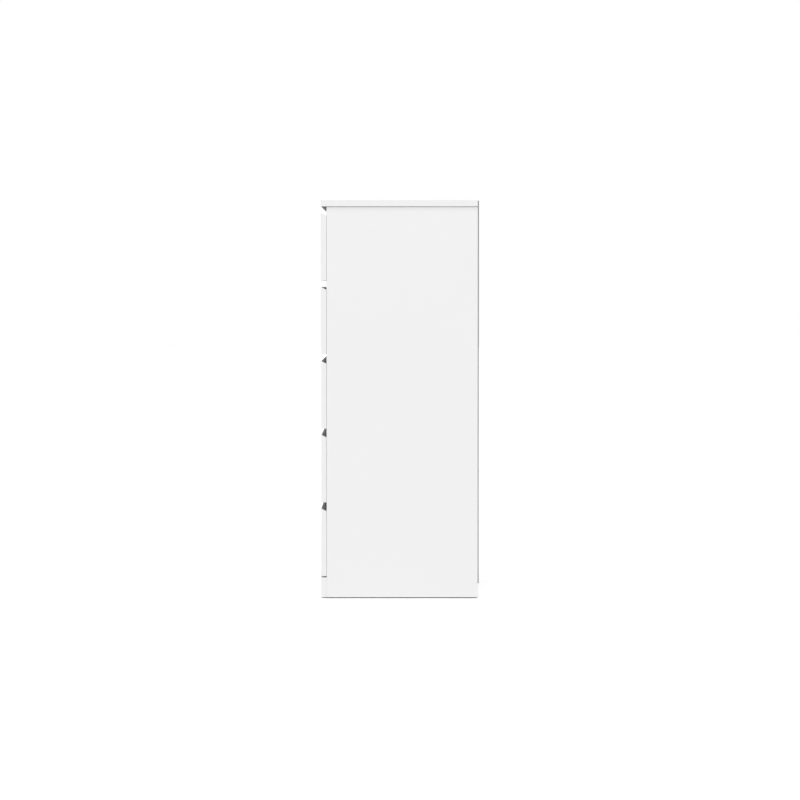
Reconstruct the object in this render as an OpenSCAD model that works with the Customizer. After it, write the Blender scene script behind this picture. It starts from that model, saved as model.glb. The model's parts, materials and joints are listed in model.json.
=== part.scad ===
// Tall chest of drawers: handleless drawers on roller runners in a flat-pack carcass.
// Frame: origin on the floor under the middle of the chest, +Z up. The fronts face -Y, and +X is
// to the right. Drawer 1 is the top one.

/* [Overall size] */
// Width over the top panel
total_w = 700; // [500:10:900]
// Depth from the drawer fronts to the nail heads in the back
total_d = 436; // [436:1:500]
// Height from the floor to the top
total_h = 1100; // [1000:10:1200]
// Overhang of the top panel past each side panel
side_overhang = 4; // [1:1:20]

/* [Boards] */
// Thickness of the top panel
top_t = 18; // [16:1:30]
// Thickness of the side, bottom, rail and plinth boards
board_t = 16; // [15:1:18]
// Thickness of the back panel
back_t = 3; // [3:0.5:5]
// How far the back panel's upper edge is below the top
back_step = 2; // [1:1:6]
// Depth of the cross rail
rail_d = 60; // [56:2:100]

/* [Drawer fronts] */
// Thickness of a front
front_t = 15; // [15:1:19]
// Height of the finger gap above each front
finger_gap = 17.5; // [12:0.5:22]
// Drop of the bevel on a front's top edge, from its face to its back
front_bevel = 8; // [2:0.5:9]
// Gap between the bottom front and the plinth
bottom_gap = 4; // [3:1:8]
// Height of the plinth's top edge above the floor
plinth_top = 58; // [56:1:90]
// Space between the closed fronts and the side panels
front_clearance = 0.5; // [0.5:0.1:2]

/* [Drawer boxes] */
// Thickness of a drawer's sides and back
box_t = 12; // [12:1:15]
// Height of a drawer's sides
box_h = 140; // [110:5:140]
// Height of a box above the lower edge of its front
box_lift = 14; // [12:1:18]
// Thickness of a drawer's bottom
bottom_t = 3; // [3:0.5:4]
// Depth of the groove that holds the bottom
groove_d = 6; // [4:0.5:6]
// Height of that groove above the lower edge of the box
groove_z = 10; // [10:1:14]

/* [Runners] */
// Length of a runner
runner_l = 400; // [350, 400]
// How far a drawer pulls out
travel = 290; // [200:10:290]
// Space for a runner at each side of a box
runner_gap = 12.5; // [12.5:0.1:13]
// Thickness of the runner steel
steel_t = 1.2; // [1:0.1:1.2]

/* [Feet and nails] */
// Height of the glides under the side panels
glide_h = 3; // [2:0.5:5]
// Diameter of the glides
glide_dia = 15; // [12:1:15]
// How far the nail heads stand out of the back panel
nail_head_t = 0.5; // [0.3:0.1:1]
// Number of nails up each rear edge
nail_rows = 8; // [4:1:12]

/* [Hidden] */
$fn = 48;
drawer_count = 5;
drawers = [1:drawer_count];

// Faces of the carcass
front_y = -total_d / 2;
back_y = total_d / 2 - nail_head_t;
carcass_front_y = front_y + front_t + front_clearance;
carcass_back_y = back_y - back_t;
side_out_x = total_w / 2 - side_overhang;
side_in_x = side_out_x - board_t;
side_mid_x = side_out_x - board_t / 2;
top_z = total_h - top_t;
bottom_panel_z = plinth_top - board_t;

// Faces of the drawers
pitch = (top_z - plinth_top - bottom_gap) / drawer_count;
front_h = pitch - finger_gap;
box_front_y = front_y + front_t;
box_back_y = box_front_y + runner_l;
box_out_x = side_in_x - runner_gap;
box_in_x = box_out_x - box_t;
box_mid_x = box_out_x - box_t / 2;
groove_play = 0.2;
function front_z(n) = top_z - n * pitch;
function box_z(n) = front_z(n) + box_lift;

// The cross rail fills the middle of the space between the boxes of drawers 3 and 4
finger_room = 46;
rail_y = carcass_front_y + finger_room;
rail_z = (box_z(3) + box_z(4) + box_h - board_t) / 2;
rail_cam_y = rail_y + 18;
rail_dowel_y = rail_y + 42;

// Fittings. A reach is the distance from the joint to the middle of the cam, and a grip is how far
// a bolt or dowel goes into the other board.
play = 0.1;
cam_r = 7.5;
cam_depth = 12.5;
cam_reach = 34;
small_cam_r = 6;
small_cam_depth = 9.5;
small_cam_reach = 24;
bolt_r = 2.5;
bolt_grip = 11;
dowel_r = 4;
dowel_reach = 19;
dowel_grip = 11;
screw_r = 1.75;
screw_head_r = 3.5;
nail_r = 0.8;
nail_head_r = 2;
nail_l = 22;
cam_y = 150;
dowel_y = 182;
side_dowels_y = [-dowel_y, 0, dowel_y];
front_plinth_cam_z = 30;
front_plinth_dowel_z = 13;
rear_plinth_cam_z = 20;
rear_plinth_dowel_z = 7;
box_joint_heights = [0.3, 0.8] * box_h;
glide_inset = 30;

// Runner heights are counted from the lower edge of the box
channel_w = 10.1;
channel_h = 19.4;
channel_z = -5.3;
rear_roller_r = 9;
front_roller_r = 10;
roller_w = 6.4;
roller_play = 0.15;
rear_roller_z = channel_z + roller_play + rear_roller_r;
wing_z = 16.8;
wing_w = 9.4;
front_roller_z = wing_z - roller_play - front_roller_r;
axle_r = 2;
axle_play = 0.05;
collar_r = 3.2;
rivet_t = 0.7;
end_play = 0.2;
front_seat = 2;
rear_seat = 1.3;
front_roller_inset = 14;
rear_roller_inset = 12;
steel_face_x = side_in_x - steel_t;
front_roller_x = steel_face_x - front_seat;
rear_roller_x = box_out_x + steel_t + rear_seat;
runner_front_y = carcass_front_y + 2;
runner_back_y = runner_front_y + runner_l;
front_roller_y = runner_front_y + front_roller_inset;
channel_front_y = front_roller_y + front_roller_inset;
rear_roller_y = box_back_y - rear_roller_inset;
stop_y = rear_roller_y - travel - rear_roller_r - end_play;
stop_h = 8;

white = [0.93, 0.93, 0.92];
hardboard = [0.62, 0.62, 0.61];
steel = [0.82, 0.83, 0.84];
nylon = [0.92, 0.91, 0.88];
dark_plastic = [0.3, 0.3, 0.3];
beech = [0.78, 0.6, 0.4];

drawer_pieces = ["front", "side_left", "side_right", "back", "bottom",
                 "runners", "rear_rollers", "fasteners"];

// ---- Helpers ----

// A box between two opposite corners
module block(low, high) {
    translate(low) cube(high - low);
}

// What is drawn on the right-hand side, on both sides
module both_sides() {
    children();
    mirror([1, 0, 0]) children();
}

// A cylinder from the origin along +X
module rod_x(r, l) {
    rotate([0, 90, 0]) cylinder(r = r, h = l);
}

// ---- Fittings. Each is drawn with the joint at x = 0 and its bolt or dowel along X, with the
// ---- grip towards +X. The cam's open face is half a board below, at z = -half_t.

module cam_bolt(reach, room = 0) {
    translate([-reach - room, 0, 0]) rod_x(bolt_r + room, reach + bolt_grip + 2 * room);
}

module cam_lock(reach, r, depth, half_t) {
    slot_w = 1.4;
    slot_depth = 1.2;
    difference() {
        translate([-reach, 0, -half_t]) cylinder(r = r, h = depth);
        translate([-bolt_r, 0, 0]) cam_bolt(reach, play);
        for (angle = [0, 90])
            translate([-reach, 0, -half_t]) rotate(angle)
                block([-r / 2, -slot_w / 2, -1], [r / 2, slot_w / 2, slot_depth]);
    }
}

module cam_room(reach, r, depth, half_t) {
    cam_bolt(reach, play);
    translate([-reach, 0, -half_t - 1]) cylinder(r = r + play, h = depth + play + 1);
}

module dowel(room = 0) {
    translate([-dowel_reach - room, 0, 0]) rod_x(dowel_r + room, dowel_reach + dowel_grip + 2 * room);
}

// A countersunk screw that enters along -X, with its head's face at x = 0
module wood_screw(l, room = 0) {
    head_l = 2.4;
    rotate([0, -90, 0]) {
        cylinder(r = screw_r + room, h = l + room);
        cylinder(r1 = screw_head_r + room, r2 = screw_r + room, h = head_l);
    }
}

// ---- Where the carcass fittings go ----

// Side panels up into the top panel, with the cams in the side panels' inner faces
module at_top_joints(y_list) {
    both_sides() for (y = y_list)
        translate([side_mid_x, y, top_z]) rotate([180, -90, 0]) children();
}

// Bottom panel and cross rail into the side panels, with the cams underneath
module at_end_joints(places) {
    both_sides() for (place = places)
        translate([side_in_x, place[0], place[1] + board_t / 2]) children();
}

// Rear plinth into the side panels, with the cams in its front face
module at_rear_plinth_joints(height) {
    both_sides() translate([side_in_x, carcass_back_y - board_t / 2, glide_h + height])
        rotate([-90, 0, 0]) children();
}

// Side panels forward into the front plinth, with the cams in the side panels' inner faces
module at_front_plinth_joints(height) {
    both_sides()
        translate([side_mid_x, carcass_front_y, glide_h + height])
            rotate([-90, 0, 0]) rotate([0, 90, 0]) children();
}

module at_carcass_cams() {
    at_top_joints([-cam_y, cam_y]) children();
    at_end_joints([[-cam_y, bottom_panel_z], [cam_y, bottom_panel_z], [rail_cam_y, rail_z]]) children();
    at_rear_plinth_joints(rear_plinth_cam_z) children();
    at_front_plinth_joints(front_plinth_cam_z) children();
}

module at_carcass_dowels() {
    at_top_joints(side_dowels_y) children();
    at_end_joints([for (y = side_dowels_y) [y, bottom_panel_z]]) children();
    at_end_joints([[rail_dowel_y, rail_z]]) children();
    at_rear_plinth_joints(rear_plinth_dowel_z) children();
    at_front_plinth_joints(front_plinth_dowel_z) children();
}

module carcass_fitting_room() {
    at_carcass_cams() cam_room(cam_reach, cam_r, cam_depth, board_t / 2);
    at_carcass_dowels() dowel(play);
}

// ---- Nails, glides and runner screws, with extra room when they make holes ----

module at_glides() {
    both_sides() for (y = [carcass_front_y + glide_inset, carcass_back_y - glide_inset])
        translate([side_mid_x, y, 0]) children();
}

module nail(room = 0) {
    rotate([90, 0, 0]) {
        translate([0, 0, -nail_head_t]) cylinder(r = nail_head_r, h = nail_head_t);
        cylinder(r = nail_r + room, h = nail_l + room);
    }
}

module back_nails(room = 0) {
    first_z = plinth_top + 7;
    last_z = top_z - 8;
    row_x = side_in_x - 72;
    both_sides() {
        for (row = [0:nail_rows - 1])
            translate([side_mid_x, back_y, first_z + row * (last_z - first_z) / (nail_rows - 1)]) nail(room);
        for (z = [bottom_panel_z + board_t / 2, top_z + top_t / 2])
            for (x = [row_x / 3, row_x]) translate([x, back_y, z]) nail(room);
    }
}

module glide_pins(room = 0) {
    pin_r = 1;
    pin_l = 11;
    at_glides() translate([0, 0, glide_h - 1]) cylinder(r = pin_r + room, h = pin_l + 1 + room);
}

module all_runner_screws(room = 0) {
    hole_steps = [64, 224, 320];
    screw_l = 12;
    head_t = 1;
    both_sides() for (n = drawers) for (step = hole_steps)
        translate([steel_face_x, runner_front_y + step, box_z(n) + channel_z + channel_h / 2]) {
            rod_x(screw_r + room, screw_l + room);
            translate([-head_t, 0, 0]) rod_x(screw_head_r, head_t);
        }
}

// ---- Carcass ----

// A carcass board between two corners, drilled for its fittings and nails
module carcass_board(low, high) {
    color(white) difference() {
        block(low, high);
        carcass_fitting_room();
        back_nails(play);
    }
}

module top_panel() {
    carcass_board([-total_w / 2, front_y, top_z], [total_w / 2, carcass_back_y, total_h]);
}

module side_panel_right() {
    color(white) difference() {
        block([side_in_x, carcass_front_y, glide_h], [side_out_x, carcass_back_y, top_z]);
        carcass_fitting_room();
        back_nails(play);
        glide_pins(play);
        all_runner_screws(play);
    }
}

module side_panel_left() {
    mirror([1, 0, 0]) side_panel_right();
}

module bottom_panel() {
    carcass_board([-side_in_x, carcass_front_y, bottom_panel_z],
                  [side_in_x, carcass_back_y, plinth_top]);
}

module plinth_front() {
    carcass_board([-side_out_x, carcass_front_y - front_t, glide_h],
                  [side_out_x, carcass_front_y, plinth_top]);
}

module plinth_rear() {
    carcass_board([-side_in_x, carcass_back_y - board_t, glide_h],
                  [side_in_x, carcass_back_y, bottom_panel_z]);
}

module cross_rail() {
    carcass_board([-side_in_x, rail_y, rail_z], [side_in_x, rail_y + rail_d, rail_z + board_t]);
}

module back_panel() {
    edge = 1;
    color(hardboard) difference() {
        block([edge - side_out_x, carcass_back_y, bottom_panel_z],
              [side_out_x - edge, back_y, total_h - back_step]);
        back_nails(play);
    }
}

module back_panel_nails() {
    color(steel) back_nails();
}

module cam_bolts() {
    color(steel) at_carcass_cams() cam_bolt(cam_reach);
}

module cam_locks() {
    color(steel) at_carcass_cams() cam_lock(cam_reach, cam_r, cam_depth, board_t / 2);
}

module wooden_dowels() {
    color(beech) at_carcass_dowels() dowel();
}

module foot_glides() {
    color(dark_plastic) {
        glide_pins();
        at_glides() cylinder(d = glide_dia, h = glide_h);
    }
}

// ---- Runners ----

// An axle along +X from a steel wall at x = 0: a collar, the roller's seat and a rivet head
module axle(seat_x) {
    rod_x(collar_r, seat_x - end_play);
    rod_x(axle_r, seat_x + roller_w + end_play + rivet_t);
    translate([seat_x + roller_w + end_play, 0, 0]) rod_x(collar_r, rivet_t);
}

// A nylon roller along +X from x = 0, bored for its axle, with a shallow groove in each face
module roller(r) {
    groove = 0.8;
    difference() {
        rod_x(r, roller_w);
        translate([-1, 0, 0]) rod_x(axle_r + axle_play, roller_w + 2);
        for (x = [-1, roller_w - groove]) translate([x, 0, 0]) difference() {
            rod_x(r - 1.6, 1 + groove);
            translate([-1, 0, 0]) rod_x(collar_r + 0.8, 3 + groove);
        }
    }
}

// The right-hand steel channel on the side panel, for a box whose lower edge is at z = 0
module cabinet_runner() {
    low = channel_z - steel_t;
    high = channel_z + channel_h + steel_t;
    inner_x = side_in_x - channel_w;
    block([steel_face_x, runner_front_y, low], [side_in_x, runner_back_y, high]);
    block([inner_x, channel_front_y, low], [side_in_x, runner_back_y, channel_z]);
    block([inner_x, channel_front_y, high - steel_t], [side_in_x, runner_back_y, high]);
    block([inner_x, runner_back_y - steel_t, low], [side_in_x, runner_back_y, high]);
    block([inner_x, stop_y - steel_t, high - steel_t - stop_h], [side_in_x, stop_y, high]);
    translate([steel_face_x, front_roller_y, front_roller_z]) mirror([1, 0, 0])
        axle(steel_face_x - front_roller_x);
}

module cabinet_runners() {
    color(steel) difference() {
        both_sides() for (n = drawers) translate([0, 0, box_z(n)]) cabinet_runner();
        all_runner_screws(play);
    }
}

module runner_screws() {
    color(steel) all_runner_screws();
}

// The right-hand steel angle under the box's side, with the wing that rides on the front roller
module drawer_runner() {
    y_front = box_front_y + 2;
    y_back = box_back_y - 1;
    web_x = box_out_x + steel_t;
    block([box_in_x, y_front, -steel_t], [web_x, y_back, 0]);
    block([box_out_x, y_front, -steel_t], [web_x, y_back, wing_z + steel_t]);
    block([box_out_x, y_front, wing_z], [box_out_x + wing_w, y_back, wing_z + steel_t]);
    translate([web_x, rear_roller_y, rear_roller_z]) axle(rear_roller_x - web_x);
}

module drawer_runners(n) {
    color(steel) difference() {
        both_sides() translate([0, 0, box_z(n)]) drawer_runner();
        drawer_screws(n, play);
    }
}

module drawer_rear_rollers(n) {
    color(nylon) both_sides()
        translate([rear_roller_x, rear_roller_y, box_z(n) + rear_roller_z]) roller(rear_roller_r);
}

module cabinet_front_rollers(n) {
    color(nylon) both_sides()
        translate([front_roller_x - roller_w, front_roller_y, box_z(n) + front_roller_z])
            roller(front_roller_r);
}

// ---- Drawers ----

// Sides forward into the front, with the cams in the sides' inner faces
module at_drawer_cams(n) {
    both_sides() for (height = box_joint_heights)
        translate([box_mid_x, box_front_y, box_z(n) + height])
            rotate([-90, 0, 0]) rotate([0, 90, 0]) children();
}

// Screws through the sides into the back, and up through the runners into the sides
module drawer_screws(n, room = 0) {
    back_screw_l = 40;
    runner_screw_l = 9;
    head_t = 1.4;
    both_sides() {
        for (height = box_joint_heights)
            translate([box_out_x, box_back_y - box_t / 2, box_z(n) + height]) wood_screw(back_screw_l, room);
        for (y = [box_front_y + 50, box_back_y - 60]) translate([box_mid_x, y, box_z(n) - steel_t]) {
            cylinder(r = screw_r + room, h = runner_screw_l + room);
            translate([0, 0, -head_t]) cylinder(r = screw_head_r - 0.5, h = head_t);
        }
    }
}

module drawer_fitting_room(n) {
    at_drawer_cams(n) cam_room(small_cam_reach, small_cam_r, small_cam_depth, box_t / 2);
    drawer_screws(n, play);
}

// The bottom panel, with extra thickness and width when it makes the grooves
module bottom_slab(n, room_x, room_y, room_z) {
    x = box_in_x + groove_d - groove_play + room_x;
    z = box_z(n) + groove_z;
    block([-x, box_front_y - groove_d + groove_play - room_y, z],
          [x, box_back_y - box_t + groove_d - groove_play + room_y, z + bottom_t + room_z]);
}

module drawer_front(n) {
    z = front_z(n);
    color(white) difference() {
        translate([-side_out_x, 0, 0]) rotate([90, 0, 90]) linear_extrude(2 * side_out_x)
            polygon([
                [front_y, z],
                [box_front_y, z],
                [box_front_y, z + front_h - front_bevel],
                [front_y, z + front_h]
            ]);
        bottom_slab(n, groove_play, groove_play, groove_play);
        drawer_fitting_room(n);
    }
}

module drawer_side_right(n) {
    color(white) difference() {
        block([box_in_x, box_front_y, box_z(n)], [box_out_x, box_back_y, box_z(n) + box_h]);
        bottom_slab(n, groove_play, box_t + 1, groove_play);
        drawer_fitting_room(n);
    }
}

module drawer_side_left(n) {
    mirror([1, 0, 0]) drawer_side_right(n);
}

module drawer_back(n) {
    color(white) difference() {
        block([-box_in_x, box_back_y - box_t, box_z(n)], [box_in_x, box_back_y, box_z(n) + box_h]);
        bottom_slab(n, groove_play, groove_play, groove_play);
        drawer_fitting_room(n);
    }
}

module drawer_bottom(n) {
    color(white) bottom_slab(n, 0, 0, 0);
}

module drawer_fasteners(n) {
    color(steel) {
        at_drawer_cams(n) {
            cam_bolt(small_cam_reach);
            cam_lock(small_cam_reach, small_cam_r, small_cam_depth, box_t / 2);
        }
        drawer_screws(n);
    }
}

top_panel();
side_panel_left();
side_panel_right();
bottom_panel();
back_panel();
plinth_front();
plinth_rear();
cross_rail();
cabinet_runners();
runner_screws();
cam_bolts();
cam_locks();
wooden_dowels();
back_panel_nails();
foot_glides();
for (n = drawers) {
    drawer_front(n);
    drawer_side_left(n);
    drawer_side_right(n);
    drawer_back(n);
    drawer_bottom(n);
    drawer_runners(n);
    drawer_rear_rollers(n);
    drawer_fasteners(n);
    cabinet_front_rollers(n);
}
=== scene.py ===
"""Looks of a tall white chest of drawers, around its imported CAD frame. Lengths are in metres."""
import json
import math

import bmesh
import bpy
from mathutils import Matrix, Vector

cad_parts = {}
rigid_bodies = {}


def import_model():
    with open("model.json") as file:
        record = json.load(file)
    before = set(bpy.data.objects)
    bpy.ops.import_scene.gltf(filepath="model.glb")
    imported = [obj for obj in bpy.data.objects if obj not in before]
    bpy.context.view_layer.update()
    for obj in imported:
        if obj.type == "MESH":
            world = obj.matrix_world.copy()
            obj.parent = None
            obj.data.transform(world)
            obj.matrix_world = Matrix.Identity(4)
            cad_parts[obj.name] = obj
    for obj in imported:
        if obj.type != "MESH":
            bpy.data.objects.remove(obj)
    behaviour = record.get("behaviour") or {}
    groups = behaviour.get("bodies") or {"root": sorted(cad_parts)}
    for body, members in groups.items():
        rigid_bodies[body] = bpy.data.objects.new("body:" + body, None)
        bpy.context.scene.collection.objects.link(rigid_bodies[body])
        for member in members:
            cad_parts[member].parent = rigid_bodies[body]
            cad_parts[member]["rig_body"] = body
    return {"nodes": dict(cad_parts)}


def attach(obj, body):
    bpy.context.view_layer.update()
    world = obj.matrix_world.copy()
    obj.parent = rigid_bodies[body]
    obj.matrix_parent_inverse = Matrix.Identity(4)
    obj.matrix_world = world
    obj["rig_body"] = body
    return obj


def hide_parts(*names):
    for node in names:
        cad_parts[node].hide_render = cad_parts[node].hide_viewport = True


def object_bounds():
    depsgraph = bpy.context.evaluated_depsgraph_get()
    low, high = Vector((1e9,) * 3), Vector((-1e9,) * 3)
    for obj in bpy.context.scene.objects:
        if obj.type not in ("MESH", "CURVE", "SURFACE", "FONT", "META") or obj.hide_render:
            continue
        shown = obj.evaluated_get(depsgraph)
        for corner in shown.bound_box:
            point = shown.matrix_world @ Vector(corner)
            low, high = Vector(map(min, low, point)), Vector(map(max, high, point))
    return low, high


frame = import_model()
cad_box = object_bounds()

DRAWERS = range(1, 6)
MM = 0.001

# ---- Camera ----

CAMERA_DISTANCE = 10.0     # from the end of the top panel
CAMERA_HEIGHT = 0.865
CAMERA_DROP = 0.3161       # from the lens down to the middle of the picture, at the top panel's end
CAMERA_LENS = 163.3        # in millimetres, like the sensor's width
SENSOR_WIDTH = 36


def turned_to(direction):
    """The rotation that turns an object's own +Z into the direction; cameras and lights look along -Z."""
    return Vector(direction).to_track_quat("Z", "Y").to_euler()


def add_camera():
    """A long lens that looks along -X at the right-hand side, and down by 1.8 degrees."""
    camera = bpy.data.objects.new("camera", bpy.data.cameras.new("camera"))
    camera.data.sensor_width = SENSOR_WIDTH
    camera.data.lens = CAMERA_LENS
    camera.data.clip_end = 10 * CAMERA_DISTANCE
    camera.location = (cad_box[1].x + CAMERA_DISTANCE, 0, CAMERA_HEIGHT)
    camera.rotation_euler = turned_to((CAMERA_DISTANCE, 0, CAMERA_DROP))
    bpy.context.scene.collection.objects.link(camera)
    bpy.context.scene.camera = camera


# ---- Materials ----

class Shader:
    """A new material, with short calls for the nodes that the finishes share."""

    def __init__(self, name, roughness, **sockets):
        self.material = bpy.data.materials.new(name)
        self.material.use_nodes = True
        self.nodes = self.material.node_tree.nodes
        self.links = self.material.node_tree.links
        self.surface = self.nodes["Principled BSDF"]
        self.surface.inputs["Roughness"].default_value = roughness
        for socket, value in sockets.items():
            self.surface.inputs[socket.replace("_", " ")].default_value = value
        coordinates = self.nodes.new("ShaderNodeTexCoord")
        self.place = coordinates.outputs["Object"]
        self.normal = coordinates.outputs["Normal"]

    def plug(self, socket, value):
        """Puts a number, a colour or another node's output into a socket."""
        if isinstance(value, bpy.types.NodeSocket):
            self.links.new(value, socket)
        else:
            socket.default_value = value

    def math(self, operation, *values):
        """The result of Blender's math operation on the values."""
        node = self.nodes.new("ShaderNodeMath")
        node.operation = operation
        for socket, value in zip(node.inputs, values):
            self.plug(socket, value)
        return node.outputs[0]

    def spread(self, value, from_low, from_high, to_low, to_high):
        """The value, mapped smoothly from one range to another."""
        node = self.nodes.new("ShaderNodeMapRange")
        node.interpolation_type = "SMOOTHSTEP"
        for socket, number in zip(node.inputs, (value, from_low, from_high, to_low, to_high)):
            self.plug(socket, number)
        return node.outputs[0]

    def stretched(self, scale):
        """The place in the object, scaled apart along X, Y and Z."""
        node = self.nodes.new("ShaderNodeMapping")
        self.plug(node.inputs["Vector"], self.place)
        node.inputs["Scale"].default_value = scale
        return node.outputs[0]

    def noise(self, scale, detail=2.0, place=None):
        """Noise from 0 to 1, with features about 1 / scale metres across."""
        node = self.nodes.new("ShaderNodeTexNoise")
        self.plug(node.inputs["Vector"], place or self.place)
        node.inputs["Scale"].default_value = scale
        node.inputs["Detail"].default_value = detail
        return node.outputs["Fac"]

    def cells(self, scale):
        """A random shade for each of the chips or grains, which are about 1 / scale metres across."""
        node = self.nodes.new("ShaderNodeTexVoronoi")
        self.plug(node.inputs["Vector"], self.place)
        node.inputs["Scale"].default_value = scale
        split = self.nodes.new("ShaderNodeSeparateColor")
        self.plug(split.inputs[0], node.outputs["Color"])
        return split.outputs[0]

    def mix(self, factor, first, second):
        """A colour between the first, where the factor is 0, and the second, where it is 1."""
        node = self.nodes.new("ShaderNodeMix")
        node.data_type = "RGBA"
        for name, value in (("Factor_Float", factor), ("A_Color", first), ("B_Color", second)):
            socket = next(s for s in node.inputs if s.identifier == name)
            self.plug(socket, (*value, 1) if isinstance(value, tuple) else value)
        return next(s for s in node.outputs if s.identifier == "Result_Color")

    def normal_part(self, axis):
        """The normal's part along one of the object's own axes, from -1 to 1."""
        node = self.nodes.new("ShaderNodeSeparateXYZ")
        self.plug(node.inputs[0], self.normal)
        return node.outputs[axis]

    def color(self, value):
        self.plug(self.surface.inputs["Base Color"], value)

    def roughness(self, pattern, low, high):
        """Varies the roughness from low to high, over the range that a noise pattern mostly keeps to."""
        self.plug(self.surface.inputs["Roughness"], self.spread(pattern, 0.3, 0.7, low, high))

    def bump(self, height, depth):
        """Raises the surface by depth metres where height is 1."""
        node = self.nodes.new("ShaderNodeBump")
        self.plug(node.inputs["Height"], height)
        node.inputs["Distance"].default_value = depth
        self.plug(self.surface.inputs["Normal"], node.outputs[0])


def grey(level, warmth=0.0):
    """A near-neutral colour; warmth above 0 turns it towards cream."""
    return (level * (1 + warmth), level, level * (1 - 1.6 * warmth))


def chipboard(shader):
    """The colour of bare particle board: pressed flakes of light and dark wood."""
    dark, light, dust = (0.36, 0.25, 0.15), (0.66, 0.52, 0.36), (0.48, 0.36, 0.23)
    flakes = shader.mix(shader.cells(420), dark, light)
    return shader.mix(shader.noise(1500, 3), flakes, dust)


def laminated_board(name, tone, thickness_axis, bare_edges):
    """Melamine-faced board with banded edges. With bare_edges, the lower and rear ones show the core."""
    shader = Shader(name, 0.5, Specular_IOR_Level=0.42)
    clouds = shader.noise(2.5)
    pearl = shader.noise(900, 3)
    face = shader.mix(clouds, grey(tone * 0.985), grey(tone * 1.01))
    across = shader.math("ABSOLUTE", shader.normal_part(thickness_axis))
    banded = shader.spread(across, 0.35, 0.65, 1.0, 0.0)
    band = shader.mix(shader.noise(14), grey(tone * 0.98), grey(tone * 1.005))
    colour = shader.mix(banded, face, band)
    if bare_edges:
        under = shader.math("MULTIPLY", shader.normal_part("Z"), -1.0)
        bare = shader.spread(shader.math("MAXIMUM", under, shader.normal_part("Y")), 0.6, 0.8, 0.0, 1.0)
        bare = shader.math("MULTIPLY", bare, banded)
        colour = shader.mix(bare, colour, chipboard(shader))
    shader.color(colour)
    shader.roughness(shader.noise(40, 3), 0.44, 0.56)
    shader.bump(pearl, 0.02 * MM)
    return shader.material


def hardboard(name, tone):
    """Thin pressed fibre board: a printed skin, with long fibres and a few darker specks in it."""
    shader = Shader(name, 0.7, Specular_IOR_Level=0.3)
    fibres = shader.noise(60, 6, shader.stretched((6.0, 1.0, 1.5)))
    specks = shader.cells(900)     # only the highest shades of the cells show
    face = shader.mix(fibres, grey(tone * 0.9), grey(tone * 1.08))
    face = shader.mix(shader.spread(specks, 0.9, 1.0, 0.0, 0.25), face, grey(tone * 0.7))
    shader.color(face)
    shader.roughness(fibres, 0.62, 0.8)
    shader.bump(shader.noise(700, 4), 0.05 * MM)
    return shader.material


def powder_coat(name, tone):
    """White powder-coated steel with its orange-peel skin."""
    shader = Shader(name, 0.35, Coat_Weight=0.15, Coat_Roughness=0.2)
    shader.color(shader.mix(shader.noise(30), grey(tone * 0.97, 0.01), grey(tone, 0.01)))
    shader.roughness(shader.noise(120), 0.3, 0.42)
    shader.bump(shader.noise(650, 2), 0.04 * MM)
    return shader.material


def zinc(name):
    """Bright zinc plating: faint crystals and a finely uneven shine."""
    shader = Shader(name, 0.32, Metallic=1.0)
    dull, bright = (0.66, 0.67, 0.69), (0.8, 0.8, 0.81)
    shader.color(shader.mix(shader.cells(700), dull, bright))
    shader.roughness(shader.noise(900, 4), 0.24, 0.4)
    shader.bump(shader.noise(2500, 3), 0.01 * MM)
    return shader.material


def moulded_plastic(name, tone, warmth, roughness):
    """A moulded part with the slight texture of its tool."""
    shader = Shader(name, roughness, Subsurface_Weight=0.08, Subsurface_Scale=0.002)
    shader.color(shader.mix(shader.noise(200), grey(tone * 0.96, warmth), grey(tone, warmth)))
    shader.roughness(shader.noise(500, 3), roughness - 0.05, roughness + 0.08)
    shader.bump(shader.noise(1800, 2), 0.015 * MM)
    return shader.material


def beech(name):
    """Bare beech: fine grain along X, with short dark flecks."""
    dark, light, fleck_colour = (0.50, 0.32, 0.17), (0.68, 0.48, 0.29), (0.36, 0.21, 0.1)
    shader = Shader(name, 0.6)
    grain = shader.noise(300, 4, shader.stretched((0.15, 1.0, 1.0)))
    fleck = shader.noise(1400, 2, shader.stretched((0.2, 1.0, 1.0)))
    wood = shader.mix(grain, dark, light)
    shader.color(shader.mix(shader.spread(fleck, 0.6, 0.75, 0.0, 0.5), wood, fleck_colour))
    shader.bump(grain, 0.05 * MM)
    return shader.material


BOARD_TONE = 0.854
BOX_TONE = 0.82
finishes = {
    "side": laminated_board("white_board_x", BOARD_TONE, "X", True),
    "front": laminated_board("white_board_y", BOARD_TONE, "Y", False),
    "flat": laminated_board("white_board_z", BOARD_TONE, "Z", True),
    "box_side": laminated_board("box_board_x", BOX_TONE, "X", False),
    "box_back": laminated_board("box_board_y", BOX_TONE, "Y", False),
    "drawer_bottom": hardboard("drawer_bottom_white", 0.76),
    "back_panel": hardboard("back_panel_grey", 0.30),
    "runner": powder_coat("runner_coat", 0.80),
    "zinc": zinc("zinc_plate"),
    "nylon": moulded_plastic("roller_nylon", 0.78, 0.02, 0.38),
    "glide": moulded_plastic("glide_plastic", 0.08, 0.0, 0.5),
    "beech": beech("beech_wood"),
}


# ---- Pieces ----

EDGE_RADIUS = 0.5 * MM                  # of the boards' edges
BACK_EDGE_RADIUS = 0.3 * MM             # of the back panel's edges
EDGE_SEGMENTS = 3                       # in each rounded edge
WELD_DISTANCE = 0.001 * MM              # points that are closer become one
FLAT_DISTANCE = 0.01 * MM               # how far past a face's plane still counts as in it
FLAT_ANGLE = math.radians(0.5)          # faces that turn by less are merged
SHARP_ANGLE = math.radians(15)          # edges that turn by more are rounded
SHADING_ANGLE = math.radians(50)        # edges that turn by more are shaded as sharp


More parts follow.
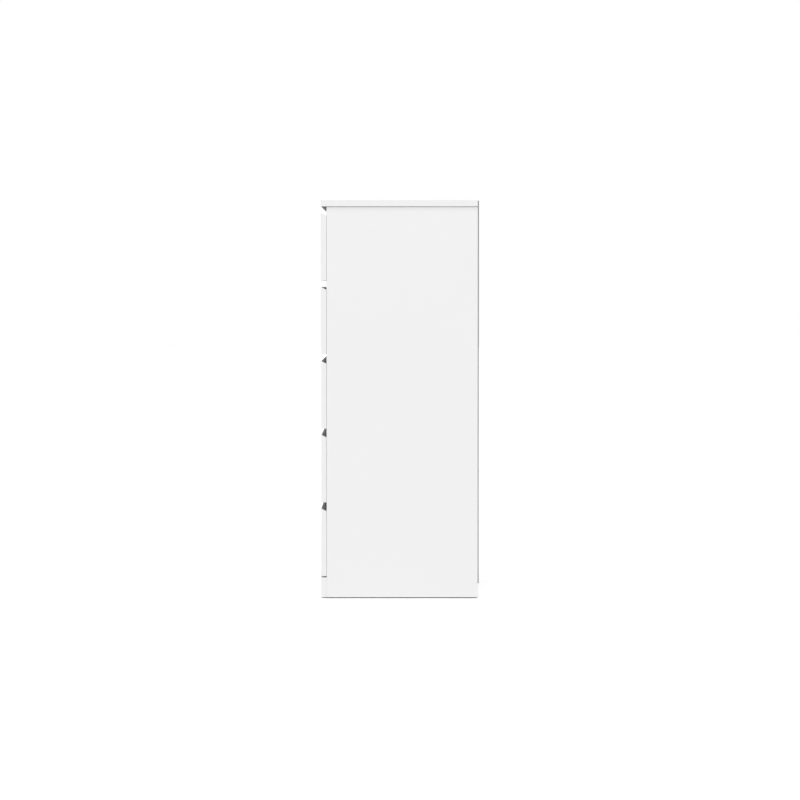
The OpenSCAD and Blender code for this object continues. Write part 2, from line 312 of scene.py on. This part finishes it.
def outer_edges(bm):
    """The sharp edges of the board's outline, leaving out its holes and grooves."""
    found = []
    for edge in bm.edges:
        if len(edge.link_faces) != 2 or edge.calc_face_angle(0) < SHARP_ANGLE:
            continue
        planes = [(face.normal, face.calc_center_median()) for face in edge.link_faces]
        if all((corner.co - middle).dot(normal) < FLAT_DISTANCE
               for normal, middle in planes for corner in bm.verts):
            found.append(edge)
    return found


def soften(node, radius, finish):
    """Adds a copy of a CAD node's mesh with its outline's edges rounded, which stands for the node."""
    source = frame["nodes"][node]
    bm = bmesh.new()
    bm.from_mesh(source.data)
    bmesh.ops.remove_doubles(bm, verts=bm.verts, dist=WELD_DISTANCE)
    bmesh.ops.dissolve_limit(bm, angle_limit=FLAT_ANGLE, verts=bm.verts, edges=bm.edges)
    bm.normal_update()
    bmesh.ops.bevel(bm, geom=outer_edges(bm), offset=radius, offset_type="OFFSET", segments=EDGE_SEGMENTS,
                    profile=0.5, affect="EDGES", clamp_overlap=False)
    mesh = bpy.data.meshes.new(node + "_softened")
    bm.to_mesh(mesh)
    bm.free()
    mesh.shade_smooth()
    mesh.set_sharp_from_angle(angle=SHADING_ANGLE)
    piece = bpy.data.objects.new(node + "_piece", mesh)
    bpy.context.scene.collection.objects.link(piece)
    piece.data.materials.append(finishes[finish])
    piece.modifiers.new("flat_faces", "WEIGHTED_NORMAL").keep_sharp = True
    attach(piece, source["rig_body"])
    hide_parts(node)


def finish_cad_node(node, finish):
    """Keeps the CAD node's own mesh, with a better material."""
    mesh = frame["nodes"][node].data
    mesh.materials.clear()
    mesh.materials.append(finishes[finish])


def add_carcass():
    """The boards that don't move, with their fittings, runners and glides."""
    for node, finish in (("top_panel", "flat"), ("side_panel_left", "side"), ("side_panel_right", "side"),
                         ("bottom_panel", "flat"), ("cross_rail", "flat"), ("plinth_front", "front"),
                         ("plinth_rear", "front")):
        soften(node, EDGE_RADIUS, finish)
    soften("back_panel", BACK_EDGE_RADIUS, "back_panel")
    for node in ("runner_screws", "cam_bolts", "cam_locks", "back_panel_nails"):
        finish_cad_node(node, "zinc")
    finish_cad_node("cabinet_runners", "runner")
    finish_cad_node("wooden_dowels", "beech")
    finish_cad_node("foot_glides", "glide")


def add_drawer(n):
    """Drawer n, counted from the top, with the cabinet rollers that it runs on."""
    drawer = f"drawer_{n}_"
    soften(drawer + "front", EDGE_RADIUS, "front")
    for side in ("side_left", "side_right"):
        soften(drawer + side, EDGE_RADIUS, "box_side")
    soften(drawer + "back", EDGE_RADIUS, "box_back")
    finish_cad_node(drawer + "bottom", "drawer_bottom")
    finish_cad_node(drawer + "runners", "runner")
    finish_cad_node(drawer + "fasteners", "zinc")
    finish_cad_node(drawer + "rear_rollers", "nylon")
    finish_cad_node(f"cabinet_front_rollers_{n}", "nylon")


# ---- Floor and light ----

FLOOR_HALF = 40.0          # from the middle to an edge
FLOOR_TONE = 0.30          # as the chest is lit by it
FLOOR_SEEN_TONE = 1.35     # as the camera sees it: lit to white
ROOM_STRENGTH = 0.4        # of the light that falls on the chest from all round
BACKDROP_STRENGTH = 1.0    # as the camera sees it
LIGHTS = (                 # name, strength, angle across in degrees, direction to the light
    ("key_light", 2.0, 30, (0.89, 0.0, 0.46)),
    ("high_light", 0.8, 20, (0.34, 0.0, 0.94)),
    ("front_fill", 1.2, 60, (-0.2, -1.0, 0.12)),
    ("rear_fill", 1.1, 60, (-0.8, 0.7, 0.15)),
)


def add_floor():
    """A matt floor that mirrors nothing. The camera sees it lit to white; the chest, as plain grey."""
    mesh = bpy.data.meshes.new("floor")
    corners = [(FLOOR_HALF * x, FLOOR_HALF * y, 0) for x, y in ((-1, -1), (1, -1), (1, 1), (-1, 1))]
    mesh.from_pydata(corners, [], [(0, 1, 2, 3)])
    floor = bpy.data.objects.new("floor", mesh)
    bpy.context.scene.collection.objects.link(floor)
    shader = Shader("floor_white", 1.0, Specular_IOR_Level=0.0)
    paper = shader.mix(shader.noise(0.8), grey(FLOOR_TONE - 0.01), grey(FLOOR_TONE + 0.01))
    seen = shader.nodes.new("ShaderNodeLightPath").outputs["Is Camera Ray"]
    shader.color(shader.mix(seen, paper, grey(FLOOR_SEEN_TONE)))
    floor.data.materials.append(shader.material)


def add_lights():
    """Wide soft lights on the camera's side and overhead, with low fills in front and behind."""
    for name, strength, angle, direction in LIGHTS:
        light = bpy.data.objects.new(name, bpy.data.lights.new(name, "SUN"))
        light.data.energy = strength
        light.data.angle = math.radians(angle)
        light.rotation_euler = turned_to(direction)
        bpy.context.scene.collection.objects.link(light)


def add_room():
    """A white room round the chest. The camera sees it as a pure white backdrop."""
    world = bpy.data.worlds.new("white_room")
    world.use_nodes = True
    bpy.context.scene.world = world
    nodes, links = world.node_tree.nodes, world.node_tree.links
    room, backdrop = nodes["Background"], nodes.new("ShaderNodeBackground")
    for background, strength in ((room, ROOM_STRENGTH), (backdrop, BACKDROP_STRENGTH)):
        background.inputs["Color"].default_value = (1, 1, 1, 1)
        background.inputs["Strength"].default_value = strength
    path = nodes.new("ShaderNodeLightPath")
    mix = nodes.new("ShaderNodeMixShader")
    links.new(path.outputs["Is Camera Ray"], mix.inputs[0])
    links.new(room.outputs[0], mix.inputs[1])
    links.new(backdrop.outputs[0], mix.inputs[2])
    links.new(mix.outputs[0], nodes["World Output"].inputs["Surface"])
    bpy.context.scene.view_settings.view_transform = "Standard"


add_camera()
add_carcass()
for number in DRAWERS:
    add_drawer(number)
add_floor()
add_lights()
add_room()
